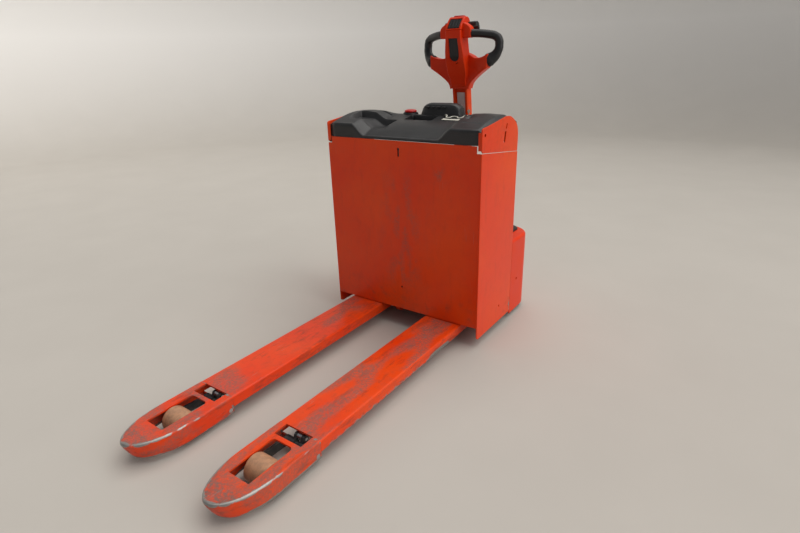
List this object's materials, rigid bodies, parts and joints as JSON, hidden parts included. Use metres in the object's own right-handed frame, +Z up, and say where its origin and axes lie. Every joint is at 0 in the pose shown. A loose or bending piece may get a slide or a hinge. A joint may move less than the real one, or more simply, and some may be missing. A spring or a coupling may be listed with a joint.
{
  "type": "electric pallet truck",
  "caption": "Pedestrian electric pallet truck with two forks, battery box, hinged hood, steered drive wheel, castors and a tilting tiller.",
  "frame": {"origin": "on the floor, at the middle of the whole machine's length and width", "axes": "+X to the right of someone who stands in front of the fork tips, -Y towards the fork tips, +Z up"},
  "size_m": [0.72, 1.7004, 1.265],
  "materials": {
    "lacquer_red": "satin orange-red stove enamel, scuffed along edges",
    "lacquer_dark": "semi-matt black-grey enamel",
    "steel": "machined or ground steel",
    "moulding_black": "grained black moulded plastic",
    "moulding_red": "satin red moulded plastic",
    "button_red": "glossy red plastic",
    "screen": "dark glossy screen",
    "polyurethane_tan": "worn tan polyurethane",
    "polyurethane_dark": "black polyurethane tread",
    "battery_case": "grey battery case",
    "nylon": "natural nylon",
    "plate": "plain aluminium plate"
  },
  "bodies": {
    "chassis": {"drive_frame": "lacquer_dark", "lift_barrel": "lacquer_dark", "hydraulic_unit": "lacquer_dark", "controller": "lacquer_dark", "drive_cover": "moulding_red", "cover_caps": "moulding_black", "bearing_ring": "steel"},
    "fork_carriage": {"fork_left": "lacquer_red", "fork_right": "lacquer_red", "fork_nose_left": "lacquer_red", "fork_nose_right": "lacquer_red", "heel_frame": "lacquer_red", "front_panel": "lacquer_red", "side_plate_left": "lacquer_red", "side_plate_right": "lacquer_red", "bulkhead": "lacquer_red", "guide_shoes": "nylon", "battery": "battery_case", "battery_connector": "button_red", "lift_rod": "steel", "hood_hinges": "steel", "arm_pivot_pins": "steel"},
    "hood": {"hood_shell": "moulding_black", "hood_side_left": "moulding_red", "hood_side_right": "moulding_red", "console_housing": "moulding_black", "display": "screen"},
    "stop_button": {"emergency_stop": "button_red"},
    "key_switch": {"key": "steel"},
    "clip": {"document_clip": "steel"},
    "castor_swivel_left": {"castor_fork_left": "steel"},
    "castor_swivel_right": {"castor_fork_right": "steel"},
    "castor_roll_left": {"castor_wheel_left": "polyurethane_dark"},
    "castor_roll_right": {"castor_wheel_right": "polyurethane_dark"},
    "steering": {"turntable": "steel", "gearbox": "lacquer_dark", "drive_motor": "lacquer_dark", "tiller_bracket": "lacquer_dark", "tiller_pin": "steel"},
    "drive_wheel": {"wheel_hub": "steel", "drive_tyre": "polyurethane_dark", "wheel_bolts": "steel"},
    "tiller": {"tiller_arm": "lacquer_red", "label_plate": "plate", "head_shell": "moulding_red", "head_top": "moulding_red", "grips": "moulding_black"},
    "throttle_wings": {"throttle": "moulding_black"},
    "horn": {"horn_button": "moulding_black"},
    "lift_switch": {"lift_rocker": "moulding_black"},
    "belly_switch": {"belly_button": "button_red"},
    "arm_left": {"load_arm_left": "lacquer_dark"},
    "arm_right": {"load_arm_right": "lacquer_dark"},
    "roller_left": {"load_roller_left": "polyurethane_tan"},
    "roller_right": {"load_roller_right": "polyurethane_tan"},
    "rocker": {"rocker_shaft": "lacquer_dark"},
    "rod_left": {"push_rod_left": "steel"},
    "rod_right": {"push_rod_right": "steel"}
  },
  "joints": [
    {"name": "fork_lift", "type": "slide", "parent": "chassis", "child": "fork_carriage", "axis": [0, 0, 1], "range_m": [0, 0.125]},
    {"name": "hood_open", "type": "hinge", "parent": "fork_carriage", "child": "hood", "pos_m": [0, 0.31075, 0.793], "axis": [1, 0, 0], "range_deg": [0, 85]},
    {"name": "stop_press", "type": "slide", "parent": "hood", "child": "stop_button", "axis": [0, 0, -1], "range_m": [0, 0.005], "stiffness_N_per_m": 400, "springref_m": -0.001},
    {"name": "key_turn", "type": "hinge", "parent": "hood", "child": "key_switch", "pos_m": [0.155, 0.58475, 0.8765], "axis": [0, 0, -1], "range_deg": [0, 60]},
    {"name": "clip_lift", "type": "hinge", "parent": "hood", "child": "clip", "pos_m": [0.13, 0.52175, 0.8851], "axis": [-1, 0, 0], "range_deg": [0, 60], "stiffness_Nm_per_rad": 0.15, "springref_deg": -11.46},
    {"name": "castor_swivel_left", "type": "hinge", "parent": "chassis", "child": "castor_swivel_left", "pos_m": [-0.262, 0.72975, 0.132], "axis": [0, 0, 1], "continuous": true},
    {"name": "castor_roll_left", "type": "hinge", "parent": "castor_swivel_left", "child": "castor_roll_left", "pos_m": [-0.262, 0.75775, 0.05], "axis": [1, 0, 0], "continuous": true},
    {"name": "castor_swivel_right", "type": "hinge", "parent": "chassis", "child": "castor_swivel_right", "pos_m": [0.262, 0.72975, 0.132], "axis": [0, 0, 1], "continuous": true},
    {"name": "castor_roll_right", "type": "hinge", "parent": "castor_swivel_right", "child": "castor_roll_right", "pos_m": [0.262, 0.75775, 0.05], "axis": [1, 0, 0], "continuous": true},
    {"name": "steer", "type": "hinge", "parent": "chassis", "child": "steering", "pos_m": [0, 0.71475, 0.256], "axis": [0, 0, 1], "range_deg": [-90, 90]},
    {"name": "drive_wheel_roll", "type": "hinge", "parent": "steering", "child": "drive_wheel", "pos_m": [0, 0.71475, 0.115], "axis": [1, 0, 0], "continuous": true},
    {"name": "tiller_tilt", "type": "hinge", "parent": "steering", "child": "tiller", "pos_m": [0, 0.80175, 0.44], "axis": [-1, 0, 0], "range_deg": [0, 78], "stiffness_Nm_per_rad": 20, "springref_deg": -17.19},
    {"name": "throttle_turn", "type": "hinge", "parent": "tiller", "child": "throttle_wings", "pos_m": [0, 0.79375, 1.229], "axis": [1, 0, 0], "range_deg": [-20, 20], "stiffness_Nm_per_rad": 0.8},
    {"name": "horn_press", "type": "slide", "parent": "tiller", "child": "horn", "axis": [0, -1, 0], "range_m": [0, 0.003], "stiffness_N_per_m": 300, "springref_m": -0.001},
    {"name": "lift_rocker_tip", "type": "hinge", "parent": "tiller", "child": "lift_switch", "pos_m": [0, 0.78875, 1.175], "axis": [1, 0, 0], "range_deg": [-8, 8], "stiffness_Nm_per_rad": 0.3},
    {"name": "belly_press", "type": "slide", "parent": "tiller", "child": "belly_switch", "axis": [0, 0, -1], "range_m": [0, 0.006], "stiffness_N_per_m": 400, "springref_m": -0.001},
    {"name": "load_arm_left", "type": "hinge", "parent": "fork_carriage", "child": "arm_left", "pos_m": [-0.196, -0.53425, 0.036], "axis": [1, 0, 0], "range_deg": [0, 66.69]},
    {"name": "roller_left_roll", "type": "hinge", "parent": "arm_left", "child": "roller_left", "pos_m": [-0.196, -0.66609, 0.0425], "axis": [1, 0, 0], "continuous": true},
    {"name": "load_arm_right", "type": "hinge", "parent": "fork_carriage", "child": "arm_right", "pos_m": [0.196, -0.53425, 0.036], "axis": [1, 0, 0], "range_deg": [0, 66.69]},
    {"name": "roller_right_roll", "type": "hinge", "parent": "arm_right", "child": "roller_right", "pos_m": [0.196, -0.66609, 0.0425], "axis": [1, 0, 0], "continuous": true},
    {"name": "rocker_turn", "type": "hinge", "parent": "fork_carriage", "child": "rocker", "pos_m": [0, 0.40975, 0.036], "axis": [1, 0, 0], "range_deg": [0, 66.69]},
    {"name": "push_rod_left_swing", "type": "hinge", "parent": "rocker", "child": "rod_left", "pos_m": [-0.196, 0.42514, 0.05939], "axis": [1, 0, 0], "range_deg": [-66.69, 0]},
    {"name": "push_rod_right_swing", "type": "hinge", "parent": "rocker", "child": "rod_right", "pos_m": [0.196, 0.42514, 0.05939], "axis": [1, 0, 0], "range_deg": [-66.69, 0]}
  ],
  "couplings": [
    {"joint": "load_arm_left", "follows": "fork_lift", "rad_per_m": 9.3108},
    {"joint": "load_arm_right", "follows": "fork_lift", "rad_per_m": 9.3108},
    {"joint": "rocker_turn", "follows": "fork_lift", "rad_per_m": 9.3108},
    {"joint": "push_rod_left_swing", "follows": "fork_lift", "rad_per_m": -9.3108},
    {"joint": "push_rod_right_swing", "follows": "fork_lift", "rad_per_m": -9.3108}
  ]
}
